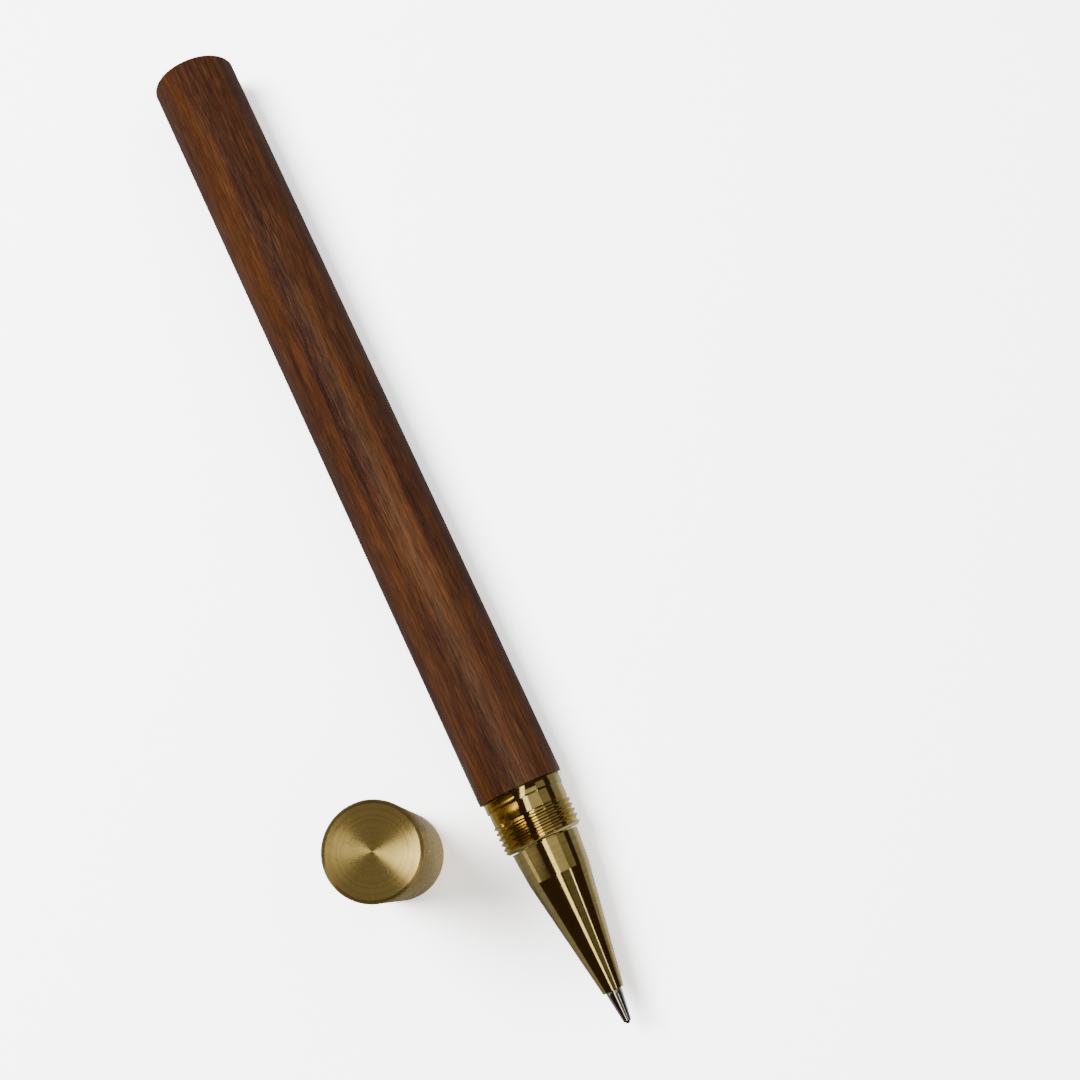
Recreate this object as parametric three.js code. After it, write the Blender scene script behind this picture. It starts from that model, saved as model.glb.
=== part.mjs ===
// A rollerball pen with a turned hardwood barrel and brass fittings, lying uncapped on a table,
// with its brass cap standing mouth down beside it. Millimetres, +Z up, table at Z = 0.
// The pen's axis runs along Y with the writing tip at -Y. The origin is the middle of the
// bounding box at table height.
//
// Places along the pen are "stations": distances from the very tip of the ball, going back.

import * as THREE from 'three';
import { mergeVertices } from 'three/addons/utils/BufferGeometryUtils.js';

// ---- Driving dimensions ----
const PEN_LENGTH = 146.0;          // uncapped, ball to far end
const BARREL_RADIUS = 5.9;
const CAP_RADIUS = 6.0;
const CAP_LENGTH = 34.2;
const CAP_BESIDE_PEN = 18.6;       // cap axis to pen axis, across the table
const CAP_BEHIND_TIP = 32.3;       // cap axis to writing tip, along the pen
const THREAD_PITCH = 0.75;         // cap thread and nose thread alike

// Stations along the pen
const NOSE_MOUTH = 4.6;
const NOSE_KINK = 21.0;
const NOSE_SHOULDER = 25.6;
const NOSE_THREAD_LENGTH = 6.0;    // eight turns hold the nose in the collar
const COLLAR_FRONT = 25.8;
const COLLAR_SPIGOT_END = 42.0;
const WOOD_FRONT = 33.2;
const ADAPTER_FRONT = 12.8;        // front of the plastic adapter behind the metal tip
const HOLDER_END = 16.0;           // back end of the metal tip, inside the adapter
const REFILL_SHOULDER = 17.9;      // where the refill's flange rests in the nose
const INK_FRONT = 21.7;
const INK_LEVEL = 85.0;
const FOLLOWER_LENGTH = 6.0;
const REFILL_TUBE_END = 109.2;
const REFILL_END = 110.6;          // back face of the refill, where the spring presses
const SPRING_SEAT = 121.2;         // front face of the plug behind the spring
const BORE_END = 124.0;            // bottom of the blind hole in the wood

// Radii
const NOSE_MOUTH_RADIUS = 1.46;
const NOSE_KINK_RADIUS = 4.25;
const NOSE_SHOULDER_RADIUS = 4.66;
const NOSE_TENON_RADIUS = 4.1;
const COLLAR_RING_RADIUS = 5.46;
const COLLAR_RELIEF_RADIUS = 5.28;
const COLLAR_CREST_RADIUS = 5.45;
const COLLAR_ROOT_RADIUS = 5.2;
const WOOD_BORE_RADIUS = 4.35;
const TUBE_OUTER_RADIUS = 4.3;
const TUBE_INNER_RADIUS = 3.9;
const REFILL_RADIUS = 3.0;
const REFILL_BORE_RADIUS = 2.45;
const INK_RADIUS = 2.4;
const TIP_RADIUS = 1.08;
const BALL_RADIUS = 0.35;
const CAP_THREAD_MAJOR = 5.55;
const CAP_THREAD_MINOR = 5.3;
const CAP_BORE_RADIUS = 5.1;
const CAP_END_WALL = 0.8;

// Facet counts
const OUTER_SIDES = 48;
const NOSE_SIDES = 32;
const INNER_SIDES = 24;

// Places on the table
const PEN_X = (CAP_BESIDE_PEN + CAP_RADIUS - BARREL_RADIUS) / 2;
const CAP_X = PEN_X - CAP_BESIDE_PEN;
const TIP_Y = -PEN_LENGTH / 2;
const CAP_Y = TIP_Y + CAP_BEHIND_TIP;

// ---- Materials ----
function finish(color, roughness, metalness) {
  return new THREE.MeshStandardMaterial({ color, roughness, metalness });
}

const ROSEWOOD = [0x6b3212, 0.5, 0.0];
const POLISHED_BRASS = [0xc9a44c, 0.15, 1.0];
const SATIN_BRASS = [0xb8974a, 0.35, 1.0];
const STEEL = [0xc4c6c8, 0.2, 1.0];
const CLEAR_PLASTIC = [0xd8dcdc, 0.3, 0.0];
const WHITE_PLASTIC = [0xe8e8e4, 0.45, 0.0];
const BLACK_PLASTIC = [0x1c1c1e, 0.5, 0.0];
const INK = [0x0a0c18, 0.2, 0.0];
const GREASE = [0xd9d2b0, 0.3, 0.0];

// ---- Shapes ----
// A flat-sided round whose flats, not its corners, stand at the given radius.
function acrossFlats(radius, sides) {
  return radius / Math.cos(Math.PI / sides);
}

// Turns [radius, station] points about the Y axis with a flat facet underneath.
function turned(points, sides) {
  const profile = points.map(([radius, station]) => new THREE.Vector2(radius, station));
  const lathe = new THREE.LatheGeometry(profile, sides, Math.PI / sides, Math.PI * 2);
  lathe.deleteAttribute('normal');
  lathe.deleteAttribute('uv');
  return mergeVertices(lathe, 1e-5);
}

// One thread as rings: root, crest, crest, root for each turn from start to end.
function threadRings(rootRadius, crestRadius, start, turns) {
  const points = [];
  for (let turn = 0; turn < turns; turn += 1) {
    const station = start + turn * THREAD_PITCH;
    points.push([rootRadius, station + 0.05 * THREAD_PITCH]);
    points.push([crestRadius, station + 0.4 * THREAD_PITCH]);
    points.push([crestRadius, station + 0.6 * THREAD_PITCH]);
    points.push([rootRadius, station + 0.95 * THREAD_PITCH]);
  }
  return points;
}

// Round wire that runs along the Y axis between two stations as a coil. With a needle, its
// first stretch is straight on the axis and the wire then widens to the coil's radius.
class CoilPath extends THREE.Curve {
  constructor({ coilRadius, start, end, turns, needle = 0 }) {
    super();
    Object.assign(this, { coilRadius, start, end, turns, needle });
  }

  getPoint(t, target = new THREE.Vector3()) {
    const coilStart = this.needle * 1.2;
    const widening = Math.max(0, Math.min(1, (t - this.needle) / Math.max(coilStart, 0.02)));
    const angle = Math.max(0, t - this.needle) / (1 - this.needle) * this.turns * Math.PI * 2;
    const radius = this.needle > 0 ? this.coilRadius * widening : this.coilRadius;
    const station = this.start + t * (this.end - this.start);
    return target.set(radius * Math.cos(angle), station, radius * Math.sin(angle));
  }
}

function wireAlong(path, wireRadius, steps, sides) {
  const section = new THREE.Shape();
  for (let side = 0; side < sides; side += 1) {
    const angle = side / sides * Math.PI * 2;
    const x = wireRadius * Math.cos(angle);
    const y = wireRadius * Math.sin(angle);
    if (side === 0) section.moveTo(x, y);
    else section.lineTo(x, y);
  }
  const wire = new THREE.ExtrudeGeometry(section, { steps, extrudePath: path });
  wire.deleteAttribute('normal');
  wire.deleteAttribute('uv');
  return mergeVertices(wire, 1e-5);
}

const pen = new THREE.Group();
pen.position.set(PEN_X, TIP_Y, BARREL_RADIUS);
const standingCap = new THREE.Group();
standingCap.position.set(CAP_X, CAP_Y, 0);

function add(group, name, geometry, look) {
  const mesh = new THREE.Mesh(geometry, finish(...look));
  mesh.name = name;
  group.add(mesh);
  return mesh;
}

// ---- Barrel: everything that stays together in the hand ----
function addBarrel() {
  const outer = acrossFlats(BARREL_RADIUS, OUTER_SIDES);
  const endRound = 0.8;
  const profile = [
    [WOOD_BORE_RADIUS, WOOD_FRONT],
    [outer - 0.1, WOOD_FRONT],
    [outer, WOOD_FRONT + 0.2],
    [outer, PEN_LENGTH - endRound],
    [outer - 0.3 * endRound, PEN_LENGTH - 0.3 * endRound],
    [outer - endRound, PEN_LENGTH],
    [0, PEN_LENGTH],
  ];
  const blindHole = [[0, BORE_END], [WOOD_BORE_RADIUS, BORE_END]];
  add(pen, 'barrel', turned([...blindHole, ...profile], OUTER_SIDES), ROSEWOOD);
}

function addBarrelTube() {
  const front = WOOD_FRONT + 0.2;
  const back = BORE_END - 0.1;
  const ring = [
    [TUBE_INNER_RADIUS, front],
    [TUBE_OUTER_RADIUS, front],
    [TUBE_OUTER_RADIUS, back],
    [TUBE_INNER_RADIUS, back],
    [TUBE_INNER_RADIUS, front],
  ];
  add(pen, 'barrel_tube', turned(ring, OUTER_SIDES), POLISHED_BRASS);
}

function addRearPlug() {
  const radius = TUBE_INNER_RADIUS - 0.05;
  const springPip = 1.4;
  const plug = [
    [0, SPRING_SEAT - 1.0],
    [springPip, SPRING_SEAT - 1.0],
    [springPip, SPRING_SEAT],
    [radius, SPRING_SEAT],
    [radius, BORE_END - 0.3],
    [0, BORE_END - 0.3],
  ];
  add(pen, 'rear_plug', turned(plug, INNER_SIDES), POLISHED_BRASS);
}

function addCollar() {
  const threadStart = COLLAR_FRONT + 0.3;
  const threadTurns = 5;
  const threadEnd = threadStart + threadTurns * THREAD_PITCH;
  const ringFront = WOOD_FRONT - 1.5;
  const back = WOOD_FRONT - 0.05;
  const boreRadius = NOSE_TENON_RADIUS + 0.15;
  const spigotRadius = TUBE_INNER_RADIUS - 0.05;
  const spigotBore = REFILL_RADIUS + 0.3;
  const boreEnd = NOSE_SHOULDER + NOSE_THREAD_LENGTH + 0.2;
  const profile = [
    [boreRadius, COLLAR_FRONT],
    [COLLAR_ROOT_RADIUS - 0.25, COLLAR_FRONT],
    [COLLAR_CREST_RADIUS - 0.1, threadStart - 0.1],
    ...threadRings(COLLAR_ROOT_RADIUS, COLLAR_CREST_RADIUS, threadStart, threadTurns),
    [COLLAR_RELIEF_RADIUS, threadEnd],
    [COLLAR_RELIEF_RADIUS, ringFront],
    [COLLAR_RING_RADIUS, ringFront + 0.05],
    [COLLAR_RING_RADIUS, back],
    [spigotRadius, back],
    [spigotRadius, COLLAR_SPIGOT_END],
    [spigotBore, COLLAR_SPIGOT_END],
    [spigotBore, boreEnd],
    [boreRadius, boreEnd],
    [boreRadius, COLLAR_FRONT],
  ];
  add(pen, 'collar', turned(profile, OUTER_SIDES), POLISHED_BRASS);
}

// ---- Nose: unscrews from the collar so that the refill can be changed ----
function addNoseCone() {
  const tenonEnd = NOSE_SHOULDER + NOSE_THREAD_LENGTH;
  const mouthBore = TIP_RADIUS + 0.15;
  const adapterBore = 2.1;
  const refillBore = REFILL_RADIUS + 0.15;
  const profile = [
    [mouthBore, NOSE_MOUTH],
    [NOSE_MOUTH_RADIUS, NOSE_MOUTH],
    [NOSE_KINK_RADIUS, NOSE_KINK],
    [NOSE_SHOULDER_RADIUS, NOSE_SHOULDER],
    [NOSE_TENON_RADIUS, NOSE_SHOULDER],
    [NOSE_TENON_RADIUS, tenonEnd],
    [refillBore, tenonEnd],
    [refillBore, REFILL_SHOULDER - 0.3],
    [adapterBore, REFILL_SHOULDER - 0.3],
    [adapterBore, ADAPTER_FRONT - 0.3],
    [mouthBore, ADAPTER_FRONT - 1.4],
    [mouthBore, NOSE_MOUTH],
  ];
  add(pen, 'nose_cone', turned(profile, NOSE_SIDES), POLISHED_BRASS);
}

// ---- Refill: a standard 6 mm by 110 mm cartridge ----
function addWritingBall() {
  const rings = 10;
  const profile = [];
  for (let ring = 0; ring <= rings; ring += 1) {
    const angle = ring / rings * Math.PI;
    const radius = ring % rings === 0 ? 0 : BALL_RADIUS * Math.sin(angle);
    profile.push([radius, BALL_RADIUS * (1 - Math.cos(angle))]);
  }
  add(pen, 'writing_ball', turned(profile, 16), STEEL);
}

function addTipHolder() {
  const socketRadius = 0.38;
  const lipRadius = 0.348;
  const channelRadius = 0.18;
  const boreRadius = 0.6;
  const profile = [
    [lipRadius, 0.25],
    [0.45, 0.25],
    [0.54, 0.42],
    [TIP_RADIUS, 4.2],
    [TIP_RADIUS, HOLDER_END],
    [boreRadius, HOLDER_END],
    [boreRadius, 1.5],
    [channelRadius, 1.3],
    [channelRadius, 0.8],
    [socketRadius, 0.62],
    [socketRadius, 0.3],
    [lipRadius, 0.25],
  ];
  add(pen, 'tip_holder', turned(profile, INNER_SIDES), STEEL);
}

function addBallSpring() {
  const path = new CoilPath({
    coilRadius: 0.42, start: 0.9, end: 8.0, turns: 9, needle: 0.12,
  });
  add(pen, 'ball_spring', wireAlong(path, 0.07, 96, 5), STEEL);
}

function addTipAdapter() {
  const flangeRadius = REFILL_RADIUS - 0.05;
  const flangeBack = REFILL_SHOULDER + 0.4;
  const spigotEnd = INK_FRONT - 0.1;
  const inkBore = 0.75;
  const holderBore = TIP_RADIUS + 0.05;
  const barrelRadius = 1.95;
  const profile = [
    [holderBore, ADAPTER_FRONT],
    [barrelRadius - 0.2, ADAPTER_FRONT],
    [barrelRadius, ADAPTER_FRONT + 0.4],
    [barrelRadius, REFILL_SHOULDER],
    [flangeRadius, REFILL_SHOULDER],
    [flangeRadius, flangeBack],
    [REFILL_BORE_RADIUS - 0.08, flangeBack],
    [REFILL_BORE_RADIUS - 0.08, spigotEnd],
    [inkBore, spigotEnd],
    [inkBore, HOLDER_END + 0.1],
    [holderBore, HOLDER_END + 0.1],
    [holderBore, ADAPTER_FRONT],
  ];
  add(pen, 'tip_adapter', turned(profile, INNER_SIDES), WHITE_PLASTIC);
}

function addRefillTube() {
  const front = REFILL_SHOULDER + 0.5;
  const ring = [
    [REFILL_BORE_RADIUS, front],
    [REFILL_RADIUS, front],
    [REFILL_RADIUS, REFILL_TUBE_END],
    [REFILL_BORE_RADIUS, REFILL_TUBE_END],
    [REFILL_BORE_RADIUS, front],
  ];
  add(pen, 'refill_tube', turned(ring, INNER_SIDES), CLEAR_PLASTIC);
}

function addInkAndFollower() {
  const column = (start, end) => [[0, start], [INK_RADIUS, start], [INK_RADIUS, end], [0, end]];
  const followerFront = INK_LEVEL + 0.1;
  add(pen, 'ink', turned(column(INK_FRONT, INK_LEVEL), INNER_SIDES), INK);
  const follower = column(followerFront, followerFront + FOLLOWER_LENGTH);
  add(pen, 'ink_follower', turned(follower, INNER_SIDES), GREASE);
}

function addRefillEndPlug() {
  const ventRadius = 0.5;
  const pipRadius = 1.5;
  const pipEnd = REFILL_END + 1.5;
  const profile = [
    [ventRadius, REFILL_TUBE_END - 4.0],
    [REFILL_BORE_RADIUS - 0.08, REFILL_TUBE_END - 4.0],
    [REFILL_BORE_RADIUS - 0.08, REFILL_TUBE_END + 0.1],
    [REFILL_RADIUS, REFILL_TUBE_END + 0.1],
    [REFILL_RADIUS, REFILL_END],
    [pipRadius, REFILL_END],
    [pipRadius - 0.2, pipEnd],
    [ventRadius, pipEnd],
    [ventRadius, REFILL_TUBE_END - 4.0],
  ];
  add(pen, 'refill_end_plug', turned(profile, INNER_SIDES), WHITE_PLASTIC);
}

function addRefillSpring() {
  const wireRadius = 0.25;
  const path = new CoilPath({
    coilRadius: 2.3,
    start: REFILL_END + wireRadius + 0.15,
    end: SPRING_SEAT - wireRadius - 0.15,
    turns: 7,
  });
  add(pen, 'refill_spring', wireAlong(path, wireRadius, 98, 6), STEEL);
}

// ---- Cap: stands on its mouth, closed end up ----
function addCap() {
  const outer = acrossFlats(CAP_RADIUS, OUTER_SIDES);
  const edge = 0.45;
  const rimEdge = 0.08;
  const threadStart = 2.6;
  const threadTurns = 5;
  const threadEnd = threadStart + threadTurns * THREAD_PITCH;
  const boreEnd = CAP_LENGTH - CAP_END_WALL;
  const bore = [
    [0, boreEnd],
    [CAP_BORE_RADIUS, boreEnd],
    [CAP_BORE_RADIUS, threadEnd],
    ...threadRings(CAP_THREAD_MAJOR, CAP_THREAD_MINOR, threadStart, threadTurns).reverse(),
    [CAP_THREAD_MAJOR, rimEdge],
    [CAP_THREAD_MAJOR + rimEdge, 0],
  ];
  const outside = [
    [outer - rimEdge, 0],
    [outer, rimEdge],
    [outer, CAP_LENGTH - edge],
    [outer - edge, CAP_LENGTH],
    [0, CAP_LENGTH],
  ];
  const cap = add(standingCap, 'cap', turned([...bore, ...outside], OUTER_SIDES), SATIN_BRASS);
  cap.rotation.x = Math.PI / 2;
}

function addInnerCap() {
  const mouth = 21.0;
  const top = CAP_LENGTH - CAP_END_WALL - 0.1;
  const topWall = 0.5;
  const outer = CAP_BORE_RADIUS - 0.12;
  const sealRadius = 1.86;
  const wellRadius = 2.1;
  const profile = [
    [0, top - topWall],
    [wellRadius, top - topWall],
    [wellRadius, mouth + 5.5],
    [sealRadius, mouth + 5.2],
    [sealRadius, mouth + 4.6],
    [3.2, mouth],
    [outer, mouth],
    [outer, top],
    [0, top],
  ];
  const inner = add(standingCap, 'inner_cap', turned(profile, OUTER_SIDES), BLACK_PLASTIC);
  inner.rotation.x = Math.PI / 2;
}

addBarrel();
addBarrelTube();
addRearPlug();
addCollar();
addNoseCone();
addWritingBall();
addTipHolder();
addBallSpring();
addTipAdapter();
addRefillTube();
addInkAndFollower();
addRefillEndPlug();
addRefillSpring();
addCap();
addInnerCap();

const rollerballPen = new THREE.Group();
rollerballPen.add(pen, standingCap);

export default rollerballPen;
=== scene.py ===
# %% [markdown]
# # A rollerball pen with a wooden barrel and turned brass fittings
# The pen lies uncapped on a table and its brass cap stands on its open end beside it. The working
# model, with every hidden piece and every joint, comes from the frame. This lesson gives the
# pieces that can be seen their fine shape and their finish. Nearly everything on such a pen is
# made on a lathe, so nearly everything here starts as half a section that is spun round an axis.

# %% Load the frame
import math

import bpy
from mathutils import Matrix, Vector


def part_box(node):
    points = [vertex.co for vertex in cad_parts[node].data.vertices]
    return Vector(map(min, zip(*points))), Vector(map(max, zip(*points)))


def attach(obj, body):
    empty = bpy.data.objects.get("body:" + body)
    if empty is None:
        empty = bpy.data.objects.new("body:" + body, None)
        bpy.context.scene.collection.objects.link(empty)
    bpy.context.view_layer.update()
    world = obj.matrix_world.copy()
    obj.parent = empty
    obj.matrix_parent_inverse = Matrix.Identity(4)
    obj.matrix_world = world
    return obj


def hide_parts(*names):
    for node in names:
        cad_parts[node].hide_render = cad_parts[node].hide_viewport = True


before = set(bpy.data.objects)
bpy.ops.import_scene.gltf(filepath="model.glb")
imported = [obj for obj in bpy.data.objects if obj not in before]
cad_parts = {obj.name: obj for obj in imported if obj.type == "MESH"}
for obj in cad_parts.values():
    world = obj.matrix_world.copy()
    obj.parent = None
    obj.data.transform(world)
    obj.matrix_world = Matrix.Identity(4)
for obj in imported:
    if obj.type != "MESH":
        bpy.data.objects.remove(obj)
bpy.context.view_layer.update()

# %% [markdown]
# ## Where things are
# A turner works from the end of the work, so places along the pen are counted from the writing
# tip, in millimetres, and called stations. The pen's axis and its two ends come from the frame,
# and so do the cap's axis and height.

# %% Axes and stations
MM = 0.001
barrel_low, barrel_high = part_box("barrel")
cap_low, cap_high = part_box("cap")
ball_low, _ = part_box("writing_ball")

BARREL_RADIUS = (barrel_high[2] - barrel_low[2]) / 2 / MM
CAP_RADIUS = (cap_high[0] - cap_low[0]) / 2 / MM
CAP_LENGTH = (cap_high[2] - cap_low[2]) / MM
PEN_LENGTH = (barrel_high[1] - ball_low[1]) / MM
WOOD_FRONT = (barrel_low[1] - ball_low[1]) / MM
PEN_FOOT = Vector(((barrel_low[0] + barrel_high[0]) / 2, ball_low[1], barrel_low[2] + BARREL_RADIUS * MM))
CAP_FOOT = Vector(((cap_low[0] + cap_high[0]) / 2, (cap_low[1] + cap_high[1]) / 2, cap_low[2]))
ALONG_PEN = Vector((0, 1, 0))
ALONG_CAP = Vector((0, 0, 1))
OUTWARD = Vector((1, 0, 0))

NOSE_MOUTH = 4.6       # stations and sizes are in mm
NOSE_KINK = 21.0
NOSE_SHOULDER = 25.6
COLLAR_FRONT = 25.8
THREAD_PITCH = 0.75
SEAM = 0.0005 * MM     # points closer than this are one point


def span(node):
    """The front station, back station and radius of a round piece that lies along the pen."""
    low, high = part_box(node)
    front = (low[1] - PEN_FOOT.y) / MM
    back = (high[1] - PEN_FOOT.y) / MM
    return front, back, (high[0] - low[0]) / 2 / MM


print("pen", round(PEN_LENGTH, 2), "mm long, cap", round(CAP_LENGTH, 2), "mm tall")
print("collar stations and radius", [round(value, 2) for value in span("collar")])

# %% [markdown]
# ## Camera
# The camera hangs a little over 23 cm above the table and looks almost straight down. The pen is
# turned about 25 degrees across the picture, with its tip towards the bottom edge. The camera is
# made first so that every later step can be looked at.

# %% Camera
CAMERA_LENS = 56.0
CAMERA_PLACE = Vector((-0.46, 20.26, 231.1))   # from the tip's foot on the table, in mm
CAMERA_TURN = math.radians(-25.2)
CAMERA_TILT = math.radians(11.44)
CAMERA_ROLL = math.radians(0.64)

tip_on_table = Vector((PEN_FOOT.x, PEN_FOOT.y, 0))
bpy.ops.object.select_all(action="DESELECT")
bpy.ops.object.camera_add(location=tip_on_table + CAMERA_PLACE * MM)
camera = bpy.context.object
camera.name = "camera"
camera.data.lens = CAMERA_LENS
camera.data.sensor_width = 36.0
camera.data.clip_start = 0.01
turn = Matrix.Rotation(CAMERA_TURN, 3, "Z")
tilt = Matrix.Rotation(CAMERA_TILT, 3, "X")
roll = Matrix.Rotation(CAMERA_ROLL, 3, "Y")
camera.rotation_euler = (turn @ tilt @ roll).to_euler()
bpy.context.scene.camera = camera
print("camera", [round(v / MM, 1) for v in camera.location], "mm")

# %% [markdown]
# ## Turning on the lathe
# Every round piece is drawn as half a section: one point at a time, each a radius and a station.
# Points may carry a third number, the radius of a rounding. The section is extruded from a single
# vertex, its corners are bevelled, and it is spun all the way round. That keeps the edge radii
# exactly where a turner would break the edges, which a bevel on the finished solid can't promise.


# %% Lathe helpers
CORNER_REACH = 0.002 * MM
SMALL_ROUNDING = 0.1   # in mm: below this two segments are enough
LARGE_ROUNDING = 0.5   # and from this on it takes eight


def close_up(threshold=SEAM):
    """Merges the active piece's seam and poles, and turns all its faces outwards."""
    bpy.ops.object.mode_set(mode="EDIT")
    bpy.ops.mesh.select_all(action="SELECT")
    bpy.ops.mesh.remove_doubles(threshold=threshold)
    bpy.ops.mesh.dissolve_degenerate(threshold=threshold / 5)
    bpy.ops.mesh.normals_make_consistent(inside=False)
    bpy.ops.object.mode_set(mode="OBJECT")


def pick_vertices(obj, test):
    """Selects the vertices that pass a test, in edit mode."""
    bpy.ops.mesh.select_mode(type="VERT")
    bpy.ops.mesh.select_all(action="DESELECT")
    bpy.ops.object.mode_set(mode="OBJECT")
    for vertex in obj.data.vertices:
        vertex.select = test(vertex.co)
    bpy.ops.object.mode_set(mode="EDIT")


def draw_section(name, section, foot, along):
    """Extrudes one vertex from point to point of a half section, then rounds the marked corners."""
    places = [foot + (OUTWARD * point[0] + along * point[1]) * MM for point in section]
    bpy.ops.object.select_all(action="DESELECT")
    bpy.ops.mesh.primitive_plane_add(size=MM, location=places[0])
    obj = bpy.context.object
    obj.name = name
    bpy.ops.object.transform_apply(location=True, rotation=False, scale=False)
    bpy.ops.object.mode_set(mode="EDIT")
    bpy.ops.mesh.merge(type="CENTER")
    for here, there in zip(places, places[1:]):
        bpy.ops.mesh.extrude_vertices_move(TRANSFORM_OT_translate={"value": there - here})
    for rounding in sorted({point[2] for point in section if len(point) > 2}):
        corners = [place for place, point in zip(places, section) if point[2:] == (rounding,)]
        pick_vertices(obj, lambda co: any((co - corner).length < CORNER_REACH for corner in corners))
        segments = 2 if rounding < SMALL_ROUNDING else 3 if rounding < LARGE_ROUNDING else 8
        bpy.ops.mesh.bevel(offset=rounding * MM, offset_type="OFFSET", affect="VERTICES", segments=segments)
    bpy.ops.object.mode_set(mode="OBJECT")
    return obj


def turn_on_lathe(name, section, foot=PEN_FOOT, along=ALONG_PEN, sides=144):
    """A round piece from its half section."""
    obj = draw_section(name, section, foot, along)
    bpy.ops.object.mode_set(mode="EDIT")
    bpy.ops.mesh.select_all(action="SELECT")
    bpy.ops.mesh.spin(steps=sides, angle=math.tau, center=foot, axis=along)
    close_up()
    return obj


def smooth(obj, angle=28.0):
    """Smooth shading with crisp edges where the surface turns by more than the angle."""
    bpy.ops.object.select_all(action="DESELECT")
    obj.select_set(True)
    bpy.context.view_layer.objects.active = obj
    bpy.ops.object.shade_smooth_by_angle(angle=math.radians(angle))


def tell(obj):
    """Prints what was made."""
    low = [min(v.co[k] for v in obj.data.vertices) / MM for k in range(3)]
    high = [max(v.co[k] for v in obj.data.vertices) / MM for k in range(3)]
    size = " x ".join(f"{b - a:.2f}" for a, b in zip(low, high))
    print(f"{obj.name}: {len(obj.data.polygons)} faces, {size} mm")


# %% [markdown]
# ## Threads
# A thread is one ridge that climbs by its pitch in each turn, so it isn't a stack of rings. A
# four-sided ridge section stands on the core, and a Screw modifier sweeps it round the axis. A
# boolean then joins the ridge to the turned core, so that the piece stays one closed skin.


# %% Thread helper
ROOT_SINK = 0.06       # how far the ridge's root goes into its core
FLANKS = (0.04, 0.38, 0.60, 0.94)    # root, crest, crest, root: shares of one pitch


def thread_ridge(name, core, crest, start, turns, foot, along, steps=96):
    """A helical ridge from the core radius to the crest, or inwards where the crest is smaller."""
    root = core - ROOT_SINK if crest > core else core + ROOT_SINK
    radii = (root, crest, crest, root)
    section = [(radius, start + share * THREAD_PITCH) for radius, share in zip(radii, FLANKS)]
    section.append(section[0])
    obj = draw_section(name, section, foot, along)
    bpy.ops.object.mode_set(mode="EDIT")
    bpy.ops.mesh.select_all(action="SELECT")
    bpy.ops.mesh.remove_doubles(threshold=SEAM)
    bpy.ops.mesh.edge_face_add()
    bpy.ops.object.mode_set(mode="OBJECT")
    bpy.context.scene.cursor.location = foot
    bpy.ops.object.origin_set(type="ORIGIN_CURSOR")
    screw = obj.modifiers.new("thread", "SCREW")
    screw.axis = "Y" if along == ALONG_PEN else "Z"
    screw.angle = math.tau * turns
    screw.screw_offset = THREAD_PITCH * MM * turns
    screw.iterations = 1
    screw.steps = int(steps * turns)
    screw.render_steps = screw.steps
    screw.use_smooth_shade = False
    bpy.ops.object.modifier_apply(modifier=screw.name)
    bpy.ops.object.transform_apply(location=True, rotation=False, scale=False)
    bpy.ops.object.mode_set(mode="EDIT")
    bpy.ops.mesh.select_all(action="SELECT")
    bpy.ops.mesh.fill_holes(sides=0)
    bpy.ops.object.mode_set(mode="OBJECT")
    close_up()
    return obj


def join_ridge(core, ridge):
    """Unites a ridge with its core and removes the ridge."""
    bpy.ops.object.select_all(action="DESELECT")
    core.select_set(True)
    bpy.context.view_layer.objects.active = core
    union = core.modifiers.new("thread", "BOOLEAN")
    union.operation = "UNION"
    union.solver = "EXACT"
    union.object = ridge
    bpy.ops.object.modifier_apply(modifier=union.name)
    bpy.data.objects.remove(ridge, do_unlink=True)


def paint(obj, material, body, node):
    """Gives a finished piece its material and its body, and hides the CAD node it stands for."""
    obj.data.materials.clear()
    obj.data.materials.append(material)
    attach(obj, body)
    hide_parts(node)


# %% [markdown]
# ## Finishes
# No finish here is one flat colour. Each material starts from the place on the piece in
# millimetres, measured from the piece's own axis, so that grain and tool marks have their real
# scale. Three effects are used by many materials, so they are node groups: the lines that a
# lathe tool leaves, the smears and spots that handling leaves, and the skin of a moulding. A few
# short helpers come first. They add one node each, so that a material reads like a recipe.


# %% Node helpers
def put(tree, kind, sockets=None, **settings):
    """Adds a node, sets its properties, and fills or links its input sockets."""
    made = tree.nodes.new(kind)
    for key, value in settings.items():
        setattr(made, key, value)
    for key, value in (sockets or {}).items():
        if isinstance(value, bpy.types.NodeSocket):
            tree.links.new(value, made.inputs[key])
        else:
            made.inputs[key].default_value = value
    return made


def blend(tree, share, one, other, mode="MIX"):
    """Mixes two colours by a share from 0 to 1 and returns the mixed colour's socket."""
    return put(tree, "ShaderNodeMix", {0: share, 6: one, 7: other}, data_type="RGBA",
               blend_type=mode).outputs[2]


def between(tree, value, low, high, new_low, new_high):
    """Stretches a value from one range to another, held at both ends."""
    sockets = {"Value": value, "From Min": low, "From Max": high, "To Min": new_low, "To Max": new_high}
    return put(tree, "ShaderNodeMapRange", sockets).outputs["Result"]


def start_group(name, inputs, outputs):
    """An empty node group with its named sockets."""
    group = bpy.data.node_groups.new(name, "ShaderNodeTree")
    for label, kind in inputs:
        group.interface.new_socket(label, in_out="INPUT", socket_type=kind)
    for label, kind in outputs:
        group.interface.new_socket(label, in_out="OUTPUT", socket_type=kind)
    return group, group.nodes.new("NodeGroupInput").outputs, group.nodes.new("NodeGroupOutput")


# %% [markdown]
# ## Tool lines
# A lathe tool leaves rings round the axis on the side of a piece, and circles on its end. Both are
# the same thing: a value that changes only with the radius plus the place along the axis. A
# one-dimensional noise of that sum gives uneven rings, as a real tool does. A slower noise of the
# same sum gives the brighter and duller bands between them.


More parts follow.
